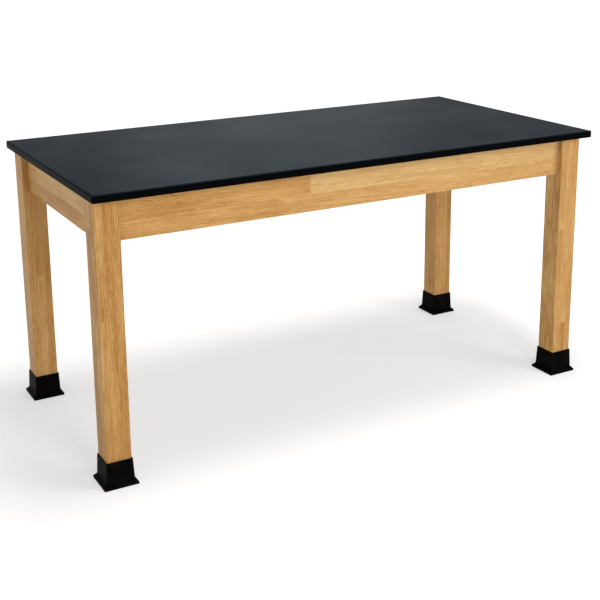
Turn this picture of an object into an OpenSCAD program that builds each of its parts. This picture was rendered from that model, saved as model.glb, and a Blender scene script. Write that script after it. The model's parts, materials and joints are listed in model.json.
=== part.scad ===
// Science laboratory table: a chemical-resistant slab on a bolted hardwood frame.
// Each leg stands on a levelling glide, hidden inside a flared boot that slides up the leg.
// Millimetres. The origin is on the floor, under the middle of the worktop.
// +X runs along the worktop, +Y to the back, +Z up.

/* [Worktop] */
// Length of the worktop
top_length = 1524; // [1220:1:1830]
// Depth of the worktop, from front to back
top_depth = 762; // [610:1:920]
// Thickness of the worktop slab
top_thickness = 19; // [16:0.5:32]
// Radius of the rounded upper edge of the slab
top_edge_radius = 5; // [2:0.5:7]
// Radius of the slab's upright corners
top_corner_radius = 8; // [8:0.5:20]
// Height of the working surface above the floor
table_height = 762; // [660:1:920]

/* [Wood frame] */
// Width of a square leg
leg_width = 65; // [60:0.5:70]
// How far the worktop reaches past the legs at each end
end_overhang = 13; // [5:0.5:60]
// How far the worktop reaches past the legs at the front and back
side_overhang = 39; // [5:0.5:60]
// Radius on the long edges of the legs
leg_edge_radius = 1.5; // [0.5:0.5:3]
// Height of the aprons
apron_height = 114; // [95:1:140]
// Thickness of the aprons and of the cross rail
apron_thickness = 22; // [19:0.5:25]
// How far an apron sits back from the outer face of its legs
apron_setback = 19; // [8:0.5:20]
// Radius on the long edges of the aprons
apron_edge_radius = 1.5; // [0.5:0.5:3]
// Height of the cross rail under the middle of the worktop
cross_rail_height = 89; // [80:1:95]

/* [Corner braces] */
// Height of a corner brace
brace_height = 76; // [70:1:80]
// Thickness of the brace's steel
brace_thickness = 2.5; // [2:0.25:3]
// Gap between a brace and the flat on its leg
brace_gap = 14; // [10:0.5:18]
// Length of a brace's flange along the apron
brace_flange = 38; // [32:1:45]
// Distance between the two hanger bolts of a leg
hanger_spacing = 38; // [30:1:44]

/* [Leg boots] */
// Height of a boot
boot_height = 69; // [62:1:80]
// How far the foot of a boot reaches past the leg
boot_flare = 13; // [12:0.25:18]
// How far the rim of a boot reaches past the leg
boot_rim = 2.6; // [2.4:0.1:3.5]
// Gap between a boot and its leg
boot_clearance = 0.4; // [0.3:0.05:0.6]

/* [Levelling glides] */
// Radius of the glide's pad
pad_radius = 19; // [15:0.5:24]
// Height of the leg's lower end above the floor with the glide screwed in
leg_lift = 20; // [20:0.5:24]

/* [Hidden] */
$fn = 48;

wood_colour = "#CDA064";
slab_colour = "#2E3438";
rubber_colour = "#151517";
steel_colour = "#B9BEC2";
brass_colour = "#B68E43";

// The underside of the slab, and the outer faces of the legs
slab_bottom = table_height - top_thickness;
leg_x = top_length / 2 - end_overhang;
leg_y = top_depth / 2 - side_overhang;
apron_bottom = slab_bottom - apron_height;

// Distances from a leg's outer corner, along both sides
apron_inner = apron_setback + apron_thickness;
leg_flat = 14;
leg_flat_out = (2 * leg_width - leg_flat) / sqrt(2);
brace_out = leg_flat_out + brace_gap;
brace_corner = brace_out * sqrt(2) - apron_inner;
brace_z = slab_bottom - apron_height / 2;
brace_end = brace_corner + brace_flange;
brace_lip = 7;
kerf_slack = 0.3;
flange_screw_at = brace_corner + 0.5 * brace_flange;
flange_screw_drop = 0.3 * brace_height;

// Hanger bolts, 8 mm, with a washer and a nut
hanger_r = 4;
hanger_depth = 34;
hanger_thread = 24;
hanger_pitch = 1.25;
washer_r = 8.5;
washer_thickness = 1.6;
nut_across_corners_r = 7.5;
nut_thickness = 6.5;
thread_under_brace = 6;

// Slack in holes, and how far a cut starts outside the piece that it cuts
running_slack = 0.05;
hole_slack = 0.4;
pilot_slack = 0.5;
past = 1;

// Wood screws, 4.2 mm, with a pan head
screw_r = 2.1;
screw_tip_r = 0.4;
screw_head_r = 4.2;
screw_head_height = 2.6;
screw_length = 16;
head_taper = 0.75;
recess_width = 1;
recess_reach = 2.4;
recess_depth = 1.4;

// Angle brackets that hold the slab, with a 6 mm screw and a brass insert each
bracket_length = 40;
bracket_leg = 22;
bracket_thickness = 2;
bracket_hole_drop = 13;
bracket_hole_x = 12;
bracket_x = top_length / 4;
top_screw_r = 3;
top_screw_length = 12;
top_screw_head_r = 6;
top_screw_head_height = 3.5;
insert_r = 4.5;
insert_length = 12;

// Upright brackets at the ends of the cross rail
rail_bracket_height = 60;
rail_bracket_leg = 25;
rail_bracket_hole = 15;
rail_bracket_hole_rise = 18;
rail_bracket_z = slab_bottom - cross_rail_height / 2;

// Levelling glides: a 10 mm stem with a ball foot, in a swivelling pad
stem_r = 5;
stem_pitch = 1.5;
stem_top = leg_lift + 38;
stem_room = 3;
thread_depth = 0.5;
ball_r = 5.5;
ball_slack = 0.1;
ball_z = 7.5;
neck_r = 3.4;
neck_room = 1;
pad_height = 11;
pad_rim_height = 4;
pad_top_r = 8;
hex_across_corners_r = 7.5;
hex_thickness = 5;
insert_flange_r = 11;
insert_flange_thickness = 1.5;
glide_insert_r = 6.5;
glide_insert_length = 18;
glide_stop_gap = 0.3;
hex_top = leg_lift - insert_flange_thickness - glide_stop_gap;

// Boot profile, measured outwards from the leg's face
boot_lip = 6;
boot_draft = 2;
cove_r = 9;
cove_angle = 45;
cove_steps = 8;
boot_wall = 3;
flare_run = boot_flare - boot_rim - boot_draft;
cove_drop = cove_r * sin(cove_angle);
cove_run = cove_r * (1 - cos(cove_angle));
cove_top = boot_lip + flare_run - cove_run + cove_drop;

// ---- placing ----

// Copies to the leg on one side: side_x is -1 for left, side_y is -1 for front.
// The children are drawn with the leg's outer corner at 0 and both axes pointing under the table.
module at_leg(side_x, side_y) {
    mirror([side_x < 0 ? 1 : 0, 0, 0])
        mirror([0, side_y < 0 ? 1 : 0, 0])
            translate([leg_x, leg_y, 0])
                rotate([0, 0, 180])
                    children();
}

module at_every_leg() {
    for (side_x = [-1, 1], side_y = [-1, 1])
        at_leg(side_x, side_y)
            children();
}

// From a leg's outer corner to the leg's middle
module at_leg_centre() {
    translate([leg_width / 2, leg_width / 2, 0])
        children();
}

// Turns the Z axis to run from the leg's outer corner under the table, at the brace's mid height
module along_hanger(rise) {
    translate([0, 0, brace_z + rise])
        rotate([0, 90, 45])
            children();
}

module at_both_hangers() {
    for (rise = [-hanger_spacing / 2, hanger_spacing / 2])
        along_hanger(rise)
            children();
}

// The four screws of a brace: Z points into the apron from the brace's flange
module at_brace_screws() {
    for (rise = [-flange_screw_drop, flange_screw_drop]) {
        translate([flange_screw_at, apron_inner + brace_thickness, brace_z + rise])
            rotate([90, 0, 0])
                children();
        translate([apron_inner + brace_thickness, flange_screw_at, brace_z + rise])
            rotate([0, -90, 0])
                children();
    }
}

// Brackets under the slab: X runs along the rail, Y away from it, and Z = 0 is the slab's underside
module at_top_brackets() {
    for (x = [-bracket_x, bracket_x]) {
        translate([x, apron_inner - leg_y, slab_bottom])
            children();
        translate([x, leg_y - apron_inner, slab_bottom])
            rotate([0, 0, 180])
                children();
    }
    translate([apron_inner - leg_x, 0, slab_bottom])
        rotate([0, 0, -90])
            children();
    translate([leg_x - apron_inner, 0, slab_bottom])
        rotate([0, 0, 90])
            children();
    translate([apron_thickness / 2, 0, slab_bottom])
        rotate([0, 0, -90])
            children();
}

// Brackets at the cross rail's ends: X runs along the apron and Y along the cross rail
module at_rail_brackets() {
    for (flip = [0, 1])
        mirror([0, flip, 0])
            translate([apron_thickness / 2, apron_inner - leg_y, rail_bracket_z])
                children();
}

// The screws of one bracket under the slab, pointing into its rail
module at_bracket_screws() {
    for (x = [-bracket_hole_x, bracket_hole_x])
        translate([x, bracket_thickness, -bracket_hole_drop])
            rotate([90, 0, 0])
                children();
}

// The screws of one cross rail bracket, pointing into the apron and into the cross rail
module at_rail_bracket_screws() {
    for (rise = [-rail_bracket_hole_rise, rail_bracket_hole_rise]) {
        translate([rail_bracket_hole, bracket_thickness, rise])
            rotate([90, 0, 0])
                children();
        translate([bracket_thickness, rail_bracket_hole, rise])
            rotate([0, -90, 0])
                children();
    }
}

// ---- shapes ----

module eased_rectangle(width, height, radius) {
    translate([radius, 0])
        square([width - 2 * radius, height]);
    translate([0, radius])
        square([width, height - 2 * radius]);
    for (x = [radius, width - radius], y = [radius, height - radius])
        translate([x, y])
            circle(radius);
}

// A rod with ridges across it for a thread, from Z = 0 upwards
module threaded_rod(radius, length, pitch) {
    turns = floor(length / pitch);
    root = radius - thread_depth * pitch;
    ridges = [
        for (i = [0 : turns - 1])
            each [[root, i * pitch], [radius, (i + 0.5) * pitch]]
    ];
    end = turns * pitch;
    rotate_extrude()
        polygon(concat([[0, 0]], ridges, [[root, end], [0, end]]));
}

// A pan head screw with a cross recess: its head is below Z = 0 and its shank runs up the Z axis
module wood_screw() {
    difference() {
        union() {
            cylinder(h = screw_length - screw_r, r = screw_r);
            translate([0, 0, screw_length - screw_r])
                cylinder(h = screw_r, r1 = screw_r, r2 = screw_tip_r);
            translate([0, 0, -screw_head_height / 2])
                cylinder(h = screw_head_height / 2, r = screw_head_r);
            translate([0, 0, -screw_head_height])
                cylinder(h = screw_head_height / 2, r1 = head_taper * screw_head_r, r2 = screw_head_r);
        }
        cross_recess(screw_head_height);
    }
}

module cross_recess(head_height) {
    for (turn = [0, 90])
        rotate([0, 0, turn])
            translate([-recess_reach, -recess_width / 2, -head_height - past])
                cube([2 * recess_reach, recess_width, recess_depth + past]);
}

module pilot_hole() {
    translate([0, 0, -past])
        cylinder(h = past + screw_length + pilot_slack, r = screw_r);
}

module angle_section(leg, thickness) {
    square([thickness, leg]);
    square([leg, thickness]);
}

// One side of a boot, from the floor up, as distances out from the leg's middle
function boot_outline(lip, run_out, cove_out, height, rim_out) =
    let (start = run_out - (flare_run - cove_run))
    concat(
        [[run_out, 0], [run_out, lip]],
        [for (i = [0 : cove_steps])
            let (a = cove_angle * (1 - i / cove_steps))
            [start - cove_run + cove_r * (1 - cos(a)), cove_out - cove_r * sin(a)]],
        [[rim_out, height]]
    );

// An outline and its mirror image, as one closed run of points
function mirrored(points) =
    concat(points, [for (i = [len(points) - 1 : -1 : 0]) [-points[i].x, points[i].y]]);

// A solid whose every level cut is a square, as wide as the outline says
module square_turned(outline) {
    reach = 4 * leg_width;
    intersection_for (turn = [0, 90])
        rotate([90, 0, turn])
            translate([0, 0, -reach / 2])
                linear_extrude(reach)
                    polygon(outline);
}

// ---- worktop ----

// The slab's upright section, with its two upper edges rounded
module slab_section(width) {
    translate([-width / 2, 0])
        square([width, top_thickness - top_edge_radius]);
    translate([top_edge_radius - width / 2, 0])
        square([width - 2 * top_edge_radius, top_thickness]);
    for (side = [-1, 1])
        translate([side * (width / 2 - top_edge_radius), top_thickness - top_edge_radius])
            circle(top_edge_radius);
}

module worktop() {
    color(slab_colour)
        difference() {
            translate([0, 0, slab_bottom])
                intersection() {
                    translate([0, top_depth, 0])
                        rotate([90, 0, 0])
                            linear_extrude(2 * top_depth)
                                slab_section(top_length);
                    translate([-top_length, 0, 0])
                        rotate([90, 0, 90])
                            linear_extrude(2 * top_length)
                                slab_section(top_depth);
                    translate([-top_length / 2, -top_depth / 2, 0])
                        linear_extrude(top_thickness)
                            eased_rectangle(top_length, top_depth, top_corner_radius);
                }
            at_top_brackets()
                translate([0, bracket_hole_drop, -past])
                    cylinder(h = past + insert_length + pilot_slack, r = insert_r);
        }
}

module top_inserts() {
    color(brass_colour)
        at_top_brackets()
            translate([0, bracket_hole_drop, 0])
                difference() {
                    cylinder(h = insert_length, r = insert_r);
                    translate([0, 0, -past])
                        cylinder(h = insert_length + 2 * past, r = top_screw_r + running_slack);
                }
}

// ---- legs ----

module leg() {
    color(wood_colour)
        difference() {
            translate([0, 0, leg_lift])
                linear_extrude(slab_bottom - leg_lift)
                    eased_rectangle(leg_width, leg_width, leg_edge_radius);
            leg_corner_flat();
            at_both_hangers()
                translate([0, 0, leg_flat_out - hanger_depth])
                    cylinder(h = hanger_depth + past, r = hanger_r);
            at_leg_centre() {
                translate([0, 0, leg_lift - past])
                    cylinder(h = glide_insert_length + past, r = glide_insert_r);
                translate([0, 0, leg_lift])
                    cylinder(h = stem_top - leg_lift + stem_room, r = stem_r + hole_slack);
            }
        }
}

// Cuts the flat that faces the corner brace, behind the aprons
module leg_corner_flat() {
    translate([0, 0, apron_bottom])
        rotate([0, 0, 45])
            translate([leg_flat_out, -leg_width / 2, 0])
                cube([leg_width, leg_width, apron_height + past]);
}

module leg_front_left() {
    at_leg(-1, -1) leg();
}

module leg_front_right() {
    at_leg(1, -1) leg();
}

module leg_rear_left() {
    at_leg(-1, 1) leg();
}

module leg_rear_right() {
    at_leg(1, 1) leg();
}

// ---- aprons and cross rail ----

// A rail along X, centred, with one face at Y = 0 and its upper edge under the slab
module rail(length, height) {
    translate([-length / 2, 0, slab_bottom - height])
        rotate([90, 0, 90])
            linear_extrude(length)
                eased_rectangle(apron_thickness, height, apron_edge_radius);
}

// Saw cuts for the brace lips and pilot holes for the brace screws, in every apron
module brace_cuts() {
    at_every_leg() {
        at_brace_screws()
            pilot_hole();
        brace_kerf();
        mirror([1, -1, 0])
            brace_kerf();
    }
}

module brace_kerf() {
    width = brace_thickness + 2 * kerf_slack;
    depth = brace_lip + kerf_slack;
    translate([brace_end + kerf_slack - width, apron_inner - depth, apron_bottom - past])
        cube([width, depth + past, apron_height + 2 * past]);
}

module bracket_cuts() {
    at_top_brackets()
        at_bracket_screws()
            pilot_hole();
    at_rail_brackets()
        at_rail_bracket_screws()
            pilot_hole();
}

module cut_apron() {
    color(wood_colour)
        difference() {
            children();
            brace_cuts();
            bracket_cuts();
        }
}

module apron_front() {
    cut_apron()
        translate([0, apron_setback - leg_y, 0])
            rail(2 * (leg_x - leg_width), apron_height);
}

module apron_rear() {
    cut_apron()
        translate([0, leg_y - apron_inner, 0])
            rail(2 * (leg_x - leg_width), apron_height);
}

module apron_left() {
    cut_apron()
        translate([apron_setback - leg_x, 0, 0])
            rotate([0, 0, -90])
                rail(2 * (leg_y - leg_width), apron_height);
}

module apron_right() {
    cut_apron()
        translate([leg_x - apron_inner, 0, 0])
            rotate([0, 0, -90])
                rail(2 * (leg_y - leg_width), apron_height);
}

module cross_rail() {
    color(wood_colour)
        difference() {
            translate([-apron_thickness / 2, 0, 0])
                rotate([0, 0, -90])
                    rail(2 * (leg_y - apron_inner), cross_rail_height);
            bracket_cuts();
        }
}

// ---- steel brackets ----

module top_brackets() {
    color(steel_colour)
        at_top_brackets()
            difference() {
                translate([-bracket_length / 2, 0, 0])
                    rotate([0, 90, 0])
                        linear_extrude(bracket_length)
                            angle_section(bracket_leg, bracket_thickness);
                at_bracket_screws()
                    bracket_hole(screw_r);
                translate([0, bracket_hole_drop, -bracket_thickness])
                    bracket_hole(top_screw_r);
            }
}

module cross_rail_brackets() {
    color(steel_colour)
        at_rail_brackets()
            difference() {
                translate([0, 0, -rail_bracket_height / 2])
                    linear_extrude(rail_bracket_height)
                        angle_section(rail_bracket_leg, bracket_thickness);
                at_rail_bracket_screws()
                    bracket_hole(screw_r);
            }
}

module bracket_hole(bolt_r) {
    translate([0, 0, -past])
        cylinder(h = bracket_thickness + 2 * past, r = bolt_r + hole_slack);
}

module corner_brace() {
    inner_bend = brace_corner + brace_thickness * (sqrt(2) - 1);
    inner_face = apron_inner + brace_thickness;
    lip_end = apron_inner - brace_lip;
    color(steel_colour)
        difference() {
            translate([0, 0, brace_z - brace_height / 2])
                linear_extrude(brace_height)
                    polygon([
                        [brace_end - brace_thickness, lip_end],
                        [brace_end - brace_thickness, apron_inner],
                        [brace_corner, apron_inner],
                        [apron_inner, brace_corner],
                        [apron_inner, brace_end - brace_thickness],
                        [lip_end, brace_end - brace_thickness],
                        [lip_end, brace_end],
                        [inner_face, brace_end],
                        [inner_face, inner_bend],
                        [inner_bend, inner_face],
                        [brace_end, inner_face],
                        [brace_end, lip_end]
                    ]);
            at_both_hangers()
                translate([0, 0, brace_out - past])
                    cylinder(h = brace_thickness + 2 * past, r = hanger_r + hole_slack);
            at_brace_screws()
                translate([0, 0, -past])
                    cylinder(h = brace_thickness + 2 * past, r = screw_r + hole_slack);
        }
}

module corner_brace_front_left() {
    at_leg(-1, -1) corner_brace();
}

module corner_brace_front_right() {
    at_leg(1, -1) corner_brace();
}

module corner_brace_rear_left() {
    at_leg(-1, 1) corner_brace();
}

module corner_brace_rear_right() {
    at_leg(1, 1) corner_brace();
}

// ---- fasteners ----

module hanger_bolts() {
    plain_end = brace_out - thread_under_brace;
    color(steel_colour)
        at_every_leg()
            at_both_hangers() {
                translate([0, 0, leg_flat_out - hanger_depth])
                    cylinder(h = plain_end - leg_flat_out + hanger_depth, r = hanger_r);
                translate([0, 0, plain_end])
                    threaded_rod(hanger_r, hanger_thread, hanger_pitch);
            }
}

module hanger_washers() {
    color(steel_colour)
        at_every_leg()
            at_both_hangers()
                translate([0, 0, brace_out + brace_thickness])
                    difference() {
                        cylinder(h = washer_thickness, r = washer_r);
                        translate([0, 0, -past])
                            cylinder(h = washer_thickness + 2 * past, r = hanger_r + hole_slack);
                    }
}

module hanger_nuts() {
    color(steel_colour)
        at_every_leg()
            at_both_hangers()
                translate([0, 0, brace_out + brace_thickness + washer_thickness])
                    difference() {
                        cylinder(h = nut_thickness, r = nut_across_corners_r, $fn = 6);
                        translate([0, 0, -past])
                            cylinder(h = nut_thickness + 2 * past, r = hanger_r + running_slack);
                    }
}

module brace_screws() {
    color(steel_colour)
        at_every_leg()
            at_brace_screws()
                wood_screw();
}

module bracket_screws() {
    color(steel_colour) {
        at_top_brackets()
            at_bracket_screws()
                wood_screw();
        at_rail_brackets()
            at_rail_bracket_screws()
                wood_screw();
    }
}

module top_screws() {
    face_r = head_taper * top_screw_head_r;
    color(steel_colour)
        at_top_brackets()
            translate([0, bracket_hole_drop, -bracket_thickness])
                difference() {
                    union() {
                        cylinder(h = top_screw_length, r = top_screw_r);
                        translate([0, 0, -top_screw_head_height])
                            cylinder(h = top_screw_head_height, r1 = face_r, r2 = top_screw_head_r);
                    }
                    cross_recess(top_screw_head_height);
                }
}

// ---- levelling glides ----

// A flanged, threaded insert in the lower end of each leg
module glide_inserts() {
    height = glide_insert_length + insert_flange_thickness;
    color(steel_colour)
        at_every_leg()
            at_leg_centre()
                translate([0, 0, leg_lift - insert_flange_thickness])
                    difference() {
                        union() {
                            cylinder(h = insert_flange_thickness, r = insert_flange_r);
                            cylinder(h = height, r = glide_insert_r);
                        }
                        translate([0, 0, -past])
                            cylinder(h = height + 2 * past, r = stem_r + running_slack);
                    }
}

module glide_stem() {
    hex_bottom = hex_top - hex_thickness;
    color(steel_colour)
        at_leg_centre() {
            translate([0, 0, ball_z])
                sphere(ball_r);
            translate([0, 0, ball_z])
                cylinder(h = hex_bottom - ball_z, r = neck_r);
            translate([0, 0, hex_bottom])
                cylinder(h = hex_thickness, r = hex_across_corners_r, $fn = 6);
            translate([0, 0, hex_top])
                threaded_rod(stem_r, stem_top - hex_top, stem_pitch);
        }
}

module glide_pad() {
    color(rubber_colour)
        at_leg_centre()
            difference() {
                union() {
                    cylinder(h = pad_rim_height, r = pad_radius);
                    translate([0, 0, pad_rim_height])
                        cylinder(h = pad_height - pad_rim_height, r1 = pad_radius, r2 = pad_top_r);
                }
                translate([0, 0, ball_z])
                    sphere(ball_r + ball_slack);
                translate([0, 0, ball_z])
                    cylinder(h = pad_height, r = neck_r + neck_room);
            }
}

module glide_stem_front_left() {
    at_leg(-1, -1) glide_stem();
}

module glide_stem_front_right() {
    at_leg(1, -1) glide_stem();
}

module glide_stem_rear_left() {
    at_leg(-1, 1) glide_stem();
}

module glide_stem_rear_right() {
    at_leg(1, 1) glide_stem();
}

module glide_pad_front_left() {
    at_leg(-1, -1) glide_pad();
}

module glide_pad_front_right() {
    at_leg(1, -1) glide_pad();
}

module glide_pad_rear_left() {
    at_leg(-1, 1) glide_pad();
}

module glide_pad_rear_right() {
    at_leg(1, 1) glide_pad();
}

// ---- leg boots ----

// A rubber sleeve, open at both ends, whose walls lean out and then flare to a square foot
module leg_boot() {
    half = leg_width / 2;
    outside = boot_outline(boot_lip, half + boot_flare, cove_top, boot_height, half + boot_rim);
    inside_foot = half + boot_flare - boot_wall;
    bore = half + boot_clearance;
    step = boot_lip - boot_wall / 2;
    color(rubber_colour)
        at_leg_centre()
            difference() {
                square_turned(mirrored(outside));
                square_turned(mirrored([
                    [inside_foot, -past],
                    [inside_foot, step],
                    [bore, step + inside_foot - bore],
                    [bore, boot_height + past]
                ]));
            }
}

module leg_boot_front_left() {
    at_leg(-1, -1) leg_boot();
}

module leg_boot_front_right() {
    at_leg(1, -1) leg_boot();
}

module leg_boot_rear_left() {
    at_leg(-1, 1) leg_boot();
}

module leg_boot_rear_right() {
    at_leg(1, 1) leg_boot();
}

worktop();
top_inserts();
leg_front_left();
leg_front_right();
leg_rear_left();
leg_rear_right();
apron_front();
apron_rear();
apron_left();
apron_right();
cross_rail();
cross_rail_brackets();
top_brackets();
top_screws();
bracket_screws();
corner_brace_front_left();
corner_brace_front_right();
corner_brace_rear_left();
corner_brace_rear_right();
hanger_bolts();
hanger_washers();
hanger_nuts();
brace_screws();
glide_inserts();
glide_stem_front_left();
glide_stem_front_right();
glide_stem_rear_left();
glide_stem_rear_right();
glide_pad_front_left();
glide_pad_front_right();
glide_pad_rear_left();
glide_pad_rear_right();
leg_boot_front_left();
leg_boot_front_right();
leg_boot_rear_left();
leg_boot_rear_right();
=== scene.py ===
"""Looks of the laboratory table: materials, soft-edged rubber boots, studio and camera.

Everything is in metres in the CAD frame: +X along the worktop, +Y to the back, +Z up, floor at Z = 0.
"""
import json
import math

import bmesh
import bpy
from mathutils import Matrix, Vector


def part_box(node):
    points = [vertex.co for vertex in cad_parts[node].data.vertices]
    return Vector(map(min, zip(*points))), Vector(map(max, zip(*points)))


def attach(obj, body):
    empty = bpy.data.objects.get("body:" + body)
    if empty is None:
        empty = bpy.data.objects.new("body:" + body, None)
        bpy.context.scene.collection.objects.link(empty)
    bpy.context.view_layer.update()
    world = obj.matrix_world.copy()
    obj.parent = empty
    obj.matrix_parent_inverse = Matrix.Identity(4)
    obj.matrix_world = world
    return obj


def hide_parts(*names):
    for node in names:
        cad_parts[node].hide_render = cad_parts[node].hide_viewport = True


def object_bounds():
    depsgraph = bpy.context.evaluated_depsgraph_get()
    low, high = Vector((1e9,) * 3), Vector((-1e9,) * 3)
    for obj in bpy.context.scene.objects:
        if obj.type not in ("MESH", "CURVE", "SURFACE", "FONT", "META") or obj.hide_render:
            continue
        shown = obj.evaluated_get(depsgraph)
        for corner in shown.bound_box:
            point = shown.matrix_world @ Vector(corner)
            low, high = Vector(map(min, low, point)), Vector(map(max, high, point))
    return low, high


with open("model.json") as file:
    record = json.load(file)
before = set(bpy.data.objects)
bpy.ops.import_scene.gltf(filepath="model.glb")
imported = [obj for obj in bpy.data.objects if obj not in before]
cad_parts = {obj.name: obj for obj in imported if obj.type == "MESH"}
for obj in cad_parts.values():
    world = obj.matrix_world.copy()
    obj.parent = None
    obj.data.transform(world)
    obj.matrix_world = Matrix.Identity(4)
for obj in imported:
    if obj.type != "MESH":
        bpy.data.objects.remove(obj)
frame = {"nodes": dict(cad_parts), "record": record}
cad_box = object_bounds()

NODES = frame["nodes"]
CORNERS = ("front_left", "front_right", "rear_left", "rear_right")
X, Y, Z = 0, 1, 2
MM = 0.001


# ---- small tools for building materials ----

class Graph:
    """A material's node tree, with short calls for the nodes that the materials share."""

    def __init__(self, name):
        self.material = bpy.data.materials.new(name)
        self.material.use_nodes = True
        self.tree = self.material.node_tree
        self.shader = self.tree.nodes["Principled BSDF"]
        self.place = self.add("ShaderNodeTexCoord").outputs["Object"]

    def add(self, kind, **settings):
        node = self.tree.nodes.new(kind)
        for key, value in settings.items():
            setattr(node, key, value)
        return node

    def feed(self, socket, value):
        """Links a socket's value, or sets it if it is a plain number or colour."""
        if isinstance(value, bpy.types.NodeSocket):
            self.tree.links.new(value, socket)
        else:
            socket.default_value = value

    def math(self, operation, *values):
        node = self.add("ShaderNodeMath", operation=operation)
        for socket, value in zip(node.inputs, values):
            self.feed(socket, value)
        return node.outputs[0]

    def vector(self, operation, *values):
        node = self.add("ShaderNodeVectorMath", operation=operation)
        for socket, value in zip(node.inputs, values):
            self.feed(socket, value)
        return node.outputs[0]

    def combine(self, *values):
        node = self.add("ShaderNodeCombineXYZ")
        for socket, value in zip(node.inputs, values):
            self.feed(socket, value)
        return node.outputs[0]

    def split(self, vector):
        node = self.add("ShaderNodeSeparateXYZ")
        self.feed(node.inputs[0], vector)
        return list(node.outputs)

    def noise(self, vector, scale=1.0, detail=2.0, roughness=0.5, distortion=0.0):
        node = self.add("ShaderNodeTexNoise")
        self.feed(node.inputs["Vector"], vector)
        for key, value in (
            ("Scale", scale), ("Detail", detail), ("Roughness", roughness), ("Distortion", distortion)
        ):
            node.inputs[key].default_value = value
        return node.outputs[0]

    def stretch(self, value, low, high, to_low=0.0, to_high=1.0):
        """Maps low..high to to_low..to_high, and holds it there."""
        node = self.add("ShaderNodeMapRange", interpolation_type="SMOOTHSTEP")
        for socket, number in zip(node.inputs, (value, low, high, to_low, to_high)):
            self.feed(socket, number)
        return node.outputs[0]

    def ramp(self, value, stops):
        node = self.add("ShaderNodeValToRGB")
        marks = node.color_ramp.elements
        while len(marks) < len(stops):
            marks.new(0.5)
        for mark, (place, colour) in zip(marks, stops):
            mark.position = place
            mark.color = (*colour, 1.0)
        self.feed(node.inputs[0], value)
        return node.outputs[0]

    def mix(self, amount, first, second, blend="MIX"):
        node = self.add("ShaderNodeMix", data_type="RGBA", blend_type=blend)
        self.feed(node.inputs["Factor"], amount)
        # Inputs 6 and 7 and output 2 are the node's colour sockets
        for key, value in ((6, first), (7, second)):
            if not isinstance(value, bpy.types.NodeSocket):
                value = (*value, 1.0)
            self.feed(node.inputs[key], value)
        return node.outputs[2]

    def bump(self, height, depth, strength=1.0):
        node = self.add("ShaderNodeBump")
        node.inputs["Strength"].default_value = strength
        node.inputs["Distance"].default_value = depth
        self.feed(node.inputs["Height"], height)
        self.feed(self.shader.inputs["Normal"], node.outputs[0])

    def finish(self, **values):
        for key, value in values.items():
            self.feed(self.shader.inputs[key.replace("_", " ")], value)
        return self.material


def total(graph, start, *parts):
    """start plus each (value, weight), with every value counted from its middle, 0.5."""
    result = start
    for value, weight in parts:
        centred = graph.math("SUBTRACT", value, 0.5)
        result = graph.math("MULTIPLY_ADD", centred, weight, result)
    return result


# ---- hardwood ----

WOOD_STOPS = (
    (0.00, (0.220, 0.088, 0.019)),
    (0.30, (0.395, 0.196, 0.062)),
    (0.60, (0.550, 0.314, 0.122)),
    (1.00, (0.730, 0.478, 0.232)),
)
WOOD_SHADE = 0.56           # middle of the ramp that a piece of tone 0 uses
RING_SPACING = 4.2 * MM
RING_WANDER = 26 * MM
PITH_NEAR = 40 * MM         # least distance from a board to the pith of its tree
PITH_SPREAD = 90 * MM
BOARD_SLOPE = 0.10          # how far the grain runs off from a board's length
BOARD_APART = 7.0           # metres between the places where boards take their figure
BOARD_SEED_STEP = 0.37      # keeps a board's random draw apart from its stave's
KNOT_ALONG = 0.55           # a knot reaches further along the grain than across it
GLUE_DARKER = 0.05
GLUE_LINE = (0.1 * MM, 0.35 * MM)
JOINT_DARKER = 0.10
JOINT_LINE = 0.3 * MM
PORE_DARKER = 0.24
WOOD_RELIEF = 0.09 * MM


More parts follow.
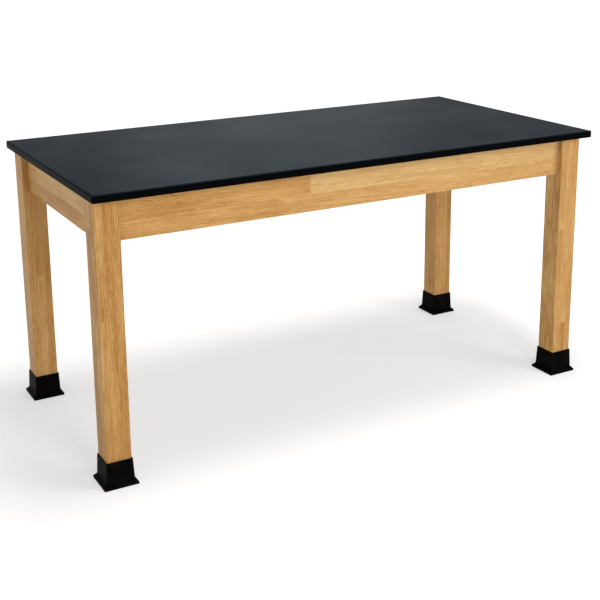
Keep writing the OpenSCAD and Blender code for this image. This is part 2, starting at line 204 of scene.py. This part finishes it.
def hardwood(name, node, grain, across, rows, columns, block, seed, tone, offset=0.0, knot=None):
    """Light hardwood glued up from staves, with its grain along one axis.

    across is the axis that rows staves stand side by side along, columns counts them along the third
    axis, and block is the length of a stave before the next one starts. tone lightens the whole piece,
    offset is the part of its lowest stave that was planed away, and knot is a knot's place along the
    grain, its place across, its reach, and how far it bends the grain.
    """
    graph = Graph(name)
    low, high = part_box(node)
    depth = 3 - grain - across
    place = graph.split(graph.place)
    along = place[grain]
    side = graph.math("SUBTRACT", place[across], low[across])
    deep = graph.math("SUBTRACT", place[depth], low[depth])
    if knot:
        side = swirl(graph, along, side, *knot)
    row_size = (high[across] - low[across]) / (rows - offset)
    column_size = (high[depth] - low[depth]) / columns
    row_place = graph.math("ADD", graph.math("DIVIDE", side, row_size), offset)
    column_place = graph.math("DIVIDE", deep, column_size)
    row = graph.math("FLOOR", row_place)
    column = graph.math("FLOOR", column_place)

    # Each stave starts at its own place along the grain, and each block of it is a different board
    stagger = graph.add("ShaderNodeTexWhiteNoise", noise_dimensions="3D")
    graph.feed(stagger.inputs[0], graph.combine(row, column, float(seed)))
    block_place = graph.math("ADD", graph.math("DIVIDE", along, block), stagger.outputs[0])
    board = graph.add("ShaderNodeTexWhiteNoise", noise_dimensions="3D")
    board_number = graph.math("ADD", graph.math("FLOOR", block_place), float(seed) + BOARD_SEED_STEP)
    graph.feed(board.inputs[0], graph.combine(row, column, board_number))
    lightness = board.outputs[0]
    random_a, random_b, random_c = graph.split(board.outputs[1])

    # Grain coordinates: every board is cut at its own distance and slope from the pith of its tree
    slope = graph.math("MULTIPLY", graph.math("SUBTRACT", random_c, 0.5), BOARD_SLOPE)
    drift = graph.math("MULTIPLY", along, slope)
    shift_a = graph.math("MULTIPLY_ADD", random_a, PITH_SPREAD, PITH_NEAR)
    shift_b = graph.math("MULTIPLY", graph.math("SUBTRACT", random_b, 0.5), PITH_SPREAD)
    cut_a = graph.math("ADD", graph.math("ADD", side, drift), shift_a)
    cut_b = graph.math("ADD", deep, shift_b)
    board_along = graph.math("MULTIPLY_ADD", random_b, BOARD_APART, along)

    def streaks(length_scale, width_scale, detail, roughness=0.55):
        """Noise drawn out along the grain. The scales count its features per metre."""
        stretched = graph.combine(
            graph.math("MULTIPLY", board_along, length_scale),
            graph.math("MULTIPLY", cut_a, width_scale),
            graph.math("MULTIPLY", cut_b, width_scale))
        return graph.noise(stretched, detail=detail, roughness=roughness)

    # Growth rings, dark at their edges and light in the middle
    wander = streaks(2.6, 14.0, 3.0, 0.5)
    radius = graph.math("SQRT", graph.math(
        "ADD", graph.math("MULTIPLY", cut_a, cut_a), graph.math("MULTIPLY", cut_b, cut_b)))
    wandered = graph.math("MULTIPLY_ADD", wander, RING_WANDER, radius)
    ring_place = graph.math("FRACT", graph.math("DIVIDE", wandered, RING_SPACING))
    ring_side = graph.math("ABSOLUTE", graph.math("SUBTRACT", ring_place, 0.5))
    ring = graph.stretch(ring_side, 0.02, 0.5, 1.0, 0.0)

    fibres = streaks(9.0, 620.0, 3.0)
    flecks = streaks(34.0, 270.0, 3.0, 0.7)
    bands = streaks(2.2, 75.0, 4.0)
    clouds = streaks(5.0, 16.0, 2.0)
    pores = graph.stretch(streaks(95.0, 1500.0, 1.0), 0.60, 0.72)

    shade = total(
        graph, WOOD_SHADE + tone, (ring, -0.17), (fibres, 0.50), (flecks, 0.62), (bands, 0.50),
        (clouds, 0.46), (lightness, 0.18))
    shade = graph.math("MULTIPLY_ADD", pores, -PORE_DARKER, shade)
    glue = glue_lines(graph, (row_place, row_size), (column_place, column_size))
    shade = graph.math("SUBTRACT", shade, glue)
    joint = graph.stretch(
        graph.math("PINGPONG", block_place, 0.5), 0.0, JOINT_LINE / block, 1.0, 0.0)
    shade = graph.math("MULTIPLY_ADD", joint, -JOINT_DARKER, shade)
    colour = graph.ramp(shade, WOOD_STOPS)
    # Boards lean a little towards yellow or towards red
    hue = graph.mix(random_a, (0.98, 0.96, 0.86), (0.93, 0.98, 0.98))
    colour = graph.mix(1.0, colour, hue, "MULTIPLY")
    height = total(graph, 0.5, (fibres, 0.5), (pores, -0.9), (ring, 0.15))
    graph.bump(height, WOOD_RELIEF, 0.6)
    return graph.finish(
        Base_Color=colour,
        Roughness=total(graph, 0.42, (fibres, 0.12), (pores, 0.10)),
        Specular_IOR_Level=0.04,
    )


def swirl(graph, along, side, centre_along, centre_side, reach, strength):
    """Draws the grain on the upper side of a small knot in towards it."""
    away_along = graph.math("SUBTRACT", along, centre_along)
    away_side = graph.math("SUBTRACT", side, centre_side)
    scaled = graph.math("MULTIPLY", away_along, KNOT_ALONG)
    square = graph.math(
        "ADD", graph.math("MULTIPLY", scaled, scaled), graph.math("MULTIPLY", away_side, away_side))
    pull = graph.math("EXPONENT", graph.math("DIVIDE", square, -reach * reach))
    push = graph.math("MULTIPLY", pull, strength)
    # Below the knot's middle the two pushes cancel
    bent = graph.math("MULTIPLY_ADD", push, graph.math("SIGN", away_side), side)
    return graph.math("ADD", bent, push)


def glue_lines(graph, *grids):
    """How much darker the wood is on the thin glue lines between its staves."""
    result = 0.0
    for place, size in grids:
        near = graph.math("MULTIPLY", graph.math("PINGPONG", place, 0.5), size)
        line = graph.stretch(near, *GLUE_LINE, 1.0, 0.0)
        result = graph.math("MULTIPLY_ADD", line, GLUE_DARKER, result)
    return result


# ---- the other materials ----

SLAB_STOPS = ((0.2, (0.0030, 0.0060, 0.0100)), (0.8, (0.0065, 0.0105, 0.0165)))
# Painted shade: the darker colour that the slab's edges are painted
SLAB_EDGE_PAINTED_SHADE = (0.0010, 0.0013, 0.0016)
PAINTED_SHADE_FULL_BELOW = 3.0 * MM    # below the upper face, where the painted shade on the edge is full
PAINTED_SHADE_STARTS_BELOW = 0.8 * MM
RUBBER_STOPS = ((0.3, (0.0016, 0.0014, 0.0013)), (0.7, (0.0040, 0.0034, 0.0030)))
RUBBER_DUST = (0.016, 0.014, 0.012)
DUST_HEIGHT = 14 * MM
PLASTIC_STOPS = ((0.3, (0.016, 0.016, 0.017)), (0.7, (0.030, 0.030, 0.032)))
ZINC_STOPS = ((0.2, (0.46, 0.47, 0.48)), (0.8, (0.62, 0.63, 0.64)))
BRASS_STOPS = ((0.3, (0.50, 0.33, 0.13)), (0.7, (0.72, 0.52, 0.24)))


def slab_black():
    """Phenolic resin: dark and satin, with a faint mottle, a fine texture and a little wear."""
    graph = Graph("slab_phenolic_black")
    mottle = graph.noise(graph.place, scale=9.0, detail=5.0, roughness=0.6)
    grain = graph.noise(graph.place, scale=1300.0, detail=2.0)
    wear = graph.noise(graph.place, scale=2.6, detail=3.0, distortion=0.6)
    fine = graph.noise(graph.place, scale=210.0, detail=3.0)
    colour = graph.ramp(total(graph, 0.5, (mottle, 0.9), (fine, 0.35)), SLAB_STOPS)
    # Painted shade: the edges below the upper face are painted darker than the face, as where less
    # light falls on them
    top = cad_box[1][Z]
    height = graph.split(graph.place)[Z]
    face = graph.stretch(height, top - PAINTED_SHADE_FULL_BELOW, top - PAINTED_SHADE_STARTS_BELOW)
    # Mixes the painted shade onto the edges, fading out towards the upper face
    colour = graph.mix(face, SLAB_EDGE_PAINTED_SHADE, colour)
    graph.bump(total(graph, 0.5, (grain, 0.6), (fine, 0.5)), 0.05 * MM, 0.5)
    return graph.finish(
        Base_Color=colour,
        Roughness=total(graph, 0.40, (wear, 0.16), (fine, 0.08)),
        Specular_IOR_Level=0.010,
    )


def rubber_black(name, seed):
    """Moulded rubber: near black, with a fine pebble and a little dust low down."""
    graph = Graph(name)
    moved = graph.vector("ADD", graph.place, (0.31 * seed, 0.17 * seed, 0.0))
    pebble = graph.noise(moved, scale=900.0, detail=2.0)
    patches = graph.noise(moved, scale=38.0, detail=4.0)
    height = graph.split(graph.place)[Z]
    low_down = graph.stretch(height, 0.0, DUST_HEIGHT, 1.0, 0.0)
    dust = graph.math("MULTIPLY", low_down, graph.stretch(patches, 0.4, 0.7))
    colour = graph.mix(
        graph.math("MULTIPLY", dust, 0.35), graph.ramp(patches, RUBBER_STOPS), RUBBER_DUST)
    graph.bump(pebble, 0.06 * MM, 0.5)
    return graph.finish(
        Base_Color=colour,
        Roughness=total(graph, 0.47, (patches, 0.18), (dust, 0.1)),
        Specular_IOR_Level=0.010,
    )


def pad_plastic():
    """Moulded black nylon, cloudy and a little scuffed."""
    graph = Graph("glide_pad_plastic")
    cloud = graph.noise(graph.place, scale=120.0, detail=4.0)
    scuff = graph.noise(graph.place, scale=900.0, detail=2.0)
    graph.bump(scuff, 0.05 * MM, 0.4)
    return graph.finish(
        Base_Color=graph.ramp(cloud, PLASTIC_STOPS),
        Roughness=total(graph, 0.5, (cloud, 0.2)),
    )


def zinc_steel():
    """Bright zinc plate: faint spangle, fine drawing lines and a light bloom."""
    graph = Graph("zinc_plated_steel")
    spangle = graph.add("ShaderNodeTexVoronoi", feature="F1")
    graph.feed(spangle.inputs["Vector"], graph.place)
    spangle.inputs["Scale"].default_value = 260.0
    facet = graph.split(spangle.outputs["Color"])[0]
    bloom = graph.noise(graph.place, scale=45.0, detail=5.0)
    lines = graph.noise(graph.vector("MULTIPLY", graph.place, (900.0, 900.0, 60.0)), detail=2.0)
    graph.bump(lines, 0.02 * MM, 0.30)
    return graph.finish(
        Base_Color=graph.ramp(total(graph, 0.5, (bloom, 0.6), (facet, 0.10)), ZINC_STOPS),
        Metallic=1.0,
        Roughness=total(graph, 0.42, (bloom, 0.12), (facet, 0.04)),
    )


def brass():
    """Machined brass with turning lines and a little tarnish."""
    graph = Graph("machined_brass")
    tarnish = graph.noise(graph.place, scale=160.0, detail=4.0)
    lines = graph.noise(graph.vector("MULTIPLY", graph.place, (80.0, 80.0, 2600.0)), detail=1.0)
    graph.bump(lines, 0.02 * MM, 0.4)
    return graph.finish(
        Base_Color=graph.ramp(tarnish, BRASS_STOPS),
        Metallic=1.0,
        Roughness=total(graph, 0.32, (tarnish, 0.2)),
    )


def dress(node, material):
    """Gives a CAD node one material on every face."""
    for slot in NODES[node].material_slots:
        slot.material = material


# In the order of CORNERS
LEG_TONES = (-0.13, -0.06, -0.03, -0.06)
# Each rail's node, the axis of its grain, and its tone
RAILS = (
    ("apron_front", X, 0.07),
    ("apron_rear", X, 0.0),
    ("apron_left", Y, 0.0),
    ("apron_right", Y, 0.0),
    ("cross_rail", Y, 0.02),
)
STAVE_LENGTH = 0.62
RAIL_OFFSET = 0.33             # part of a rail's lowest stave that was planed away
KNOT_FROM_END = 0.155          # from the front apron's left end
KNOT = (0.075, 0.030, 0.012)   # height above the apron's lower edge, reach, and bend of the grain
LEG_SEED = 11
RAIL_SEED = 31


def finish_wood():
    for number, corner in enumerate(CORNERS):
        node = "leg_" + corner
        dress(node, hardwood(
            "hardwood_" + node, node, grain=Z, across=X, rows=3, columns=2,
            block=STAVE_LENGTH, seed=LEG_SEED + number, tone=LEG_TONES[number]))
    knot = (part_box("apron_front")[0].x + KNOT_FROM_END, *KNOT)
    for number, (node, grain, tone) in enumerate(RAILS):
        dress(node, hardwood(
            "hardwood_" + node, node, grain=grain, across=Z, rows=2, columns=1,
            block=STAVE_LENGTH, seed=RAIL_SEED + number, tone=tone, offset=RAIL_OFFSET,
            knot=knot if node == "apron_front" else None))


def finish_hardware():
    steel = zinc_steel()
    for slot in frame["record"]["subparts"]:
        if slot["material_slot"] == "zinc_steel":
            dress(slot["node"], steel)
    dress("top_inserts", brass())
    dress("worktop", slab_black())
    plastic = pad_plastic()
    for corner in CORNERS:
        dress("glide_pad_" + corner, plastic)


# ---- boots with soft moulded edges ----

BOOT_EDGE = 1.1 * MM
BOOT_EDGE_STEPS = 3
SHARP = math.radians(25)       # an edge with more turn than this is rounded
FLAT = math.radians(0.5)       # faces with less turn than this between them are joined
SAME_POINT = 1e-6


def soft_edged(node, name, width, segments):
    """A copy of a CAD node's shape with its sharp edges rounded, as a moulded piece has them."""
    shape = bmesh.new()
    shape.from_mesh(NODES[node].data)
    bmesh.ops.remove_doubles(shape, verts=shape.verts, dist=SAME_POINT)
    bmesh.ops.dissolve_limit(shape, angle_limit=FLAT, verts=shape.verts, edges=shape.edges)
    sharp = [edge for edge in shape.edges if edge.is_manifold and edge.calc_face_angle() > SHARP]
    bmesh.ops.bevel(
        shape, geom=sharp, offset=width, offset_type="OFFSET", segments=segments, profile=0.5,
        affect="EDGES", clamp_overlap=True)
    for face in shape.faces:
        face.smooth = True
    mesh = bpy.data.meshes.new(name)
    shape.to_mesh(mesh)
    shape.free()
    mesh.materials.clear()
    piece = bpy.data.objects.new(name, mesh)
    bpy.context.scene.collection.objects.link(piece)
    normals = piece.modifiers.new("flat_faces", "WEIGHTED_NORMAL")
    normals.keep_sharp = True
    return piece


def make_boots():
    for number, corner in enumerate(CORNERS):
        node = "leg_boot_" + corner
        boot = soft_edged(node, "moulded_boot_" + corner, BOOT_EDGE, BOOT_EDGE_STEPS)
        boot.data.materials.append(rubber_black("rubber_boot_" + corner, number))
        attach(boot, "boot_" + corner)
        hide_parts(node)


# ---- studio ----

FLOOR_SIZE = 120.0
FLOOR_BELOW = 0.3 * MM
FLOOR_STOPS = ((0.3, (0.64, 0.64, 0.64)), (0.7, (0.66, 0.66, 0.66)))
FLOOR_GLOW = (1.0, 5.0, 0.50, 0.88)      # near and far distance, and the floor's own light at each
WORLD_DIM = (0.20, 0.45, 1.0, 0.22)      # lower and upper height in the sky, and its light at each
WARM_WHITE = (1.0, 0.985, 0.96)
COOL_WHITE = (0.85, 0.95, 1.0)
TABLE_MIDDLE = (0.0, 0.0, 0.45)
TOP_MIDDLE = (0.1, 0.0, 0.76)


def floor():
    """A wide pale floor. Light of its own, more of it away from the table, keeps the studio white."""
    bpy.ops.mesh.primitive_plane_add(size=FLOOR_SIZE, location=(0, 0, -FLOOR_BELOW))
    plane = bpy.context.object
    plane.name = "studio_floor"
    graph = Graph("studio_floor_pale")
    speck = graph.noise(graph.place, scale=3.0, detail=3.0)
    away = graph.add("ShaderNodeVectorMath", operation="LENGTH")
    graph.feed(away.inputs[0], graph.place)
    graph.finish(
        Base_Color=graph.ramp(speck, FLOOR_STOPS),
        Roughness=0.9,
        Specular_IOR_Level=0.0,
        Emission_Color=(1.0, 1.0, 1.0, 1.0),
        Emission_Strength=graph.stretch(away.outputs["Value"], *FLOOR_GLOW),
    )
    plane.data.materials.append(graph.material)


def softbox(name, place, aim, width, height, power, colour=(1.0, 1.0, 1.0)):
    """A rectangular lamp of a size in metres and a power in watts, turned to face aim."""
    light = bpy.data.lights.new(name, "AREA")
    light.shape = "RECTANGLE"
    light.size = width
    light.size_y = height
    light.energy = power
    light.color = colour
    lamp = bpy.data.objects.new(name, light)
    lamp.location = place
    lamp.rotation_euler = (Vector(aim) - Vector(place)).to_track_quat("-Z", "Y").to_euler()
    bpy.context.scene.collection.objects.link(lamp)


def studio_light():
    world = bpy.data.worlds.new("studio_world")
    bpy.context.scene.world = world
    world.use_nodes = True
    tree = world.node_tree
    background = tree.nodes["Background"]
    background.inputs["Color"].default_value = (1.0, 1.0, 1.0, 1.0)
    # White up to the horizon, then dimmer, as in a studio with a lit cove
    rise = tree.nodes.new("ShaderNodeSeparateXYZ")
    tree.links.new(tree.nodes.new("ShaderNodeTexCoord").outputs["Generated"], rise.inputs[0])
    dim = tree.nodes.new("ShaderNodeMapRange")
    for socket, value in zip(dim.inputs[1:5], WORLD_DIM):
        socket.default_value = value
    tree.links.new(rise.outputs[2], dim.inputs[0])
    tree.links.new(dim.outputs[0], background.inputs["Strength"])
    softbox("key_front", (-0.4, -3.8, 2.1), TABLE_MIDDLE, 1.2, 1.2, 42.0, WARM_WHITE)
    softbox("fill_front_right", (2.5, -3.0, 1.9), TABLE_MIDDLE, 1.8, 1.6, 40.0, WARM_WHITE)
    softbox("overhead", (0.2, -0.1, 3.2), TABLE_MIDDLE, 1.6, 1.0, 75.0)
    softbox("back_glow", (1.5, 3.2, 1.9), TOP_MIDDLE, 1.7, 1.0, 8.0, COOL_WHITE)
    bpy.context.scene.view_settings.view_transform = "Standard"


# ---- camera ----

CAMERA_PLACE = (-1.540, -2.785, 1.384)
CAMERA_TURN = 28.81    # degrees to the right of straight at the table's front
CAMERA_DIP = 13.89     # degrees below the horizon
CAMERA_ROLL = -0.54    # degrees
SENSOR = 36.0          # mm
LENS = 67.0            # mm
SHIFT_UP = -0.182      # of the frame's width
CLIP_END = 200.0       # metres, past the floor's far edge


def studio_camera():
    data = bpy.data.cameras.new("studio_camera")
    data.sensor_width = SENSOR
    data.lens = LENS
    data.shift_y = SHIFT_UP
    data.clip_end = CLIP_END
    camera = bpy.data.objects.new("studio_camera", data)
    turn = Matrix.Rotation(math.radians(-CAMERA_TURN), 4, "Z")
    dip = Matrix.Rotation(math.radians(90 - CAMERA_DIP), 4, "X")
    roll = Matrix.Rotation(math.radians(CAMERA_ROLL), 4, "Z")
    camera.matrix_world = Matrix.Translation(CAMERA_PLACE) @ turn @ dip @ roll
    bpy.context.scene.collection.objects.link(camera)
    bpy.context.scene.camera = camera


studio_camera()
studio_light()
floor()
finish_wood()
finish_hardware()
make_boots()
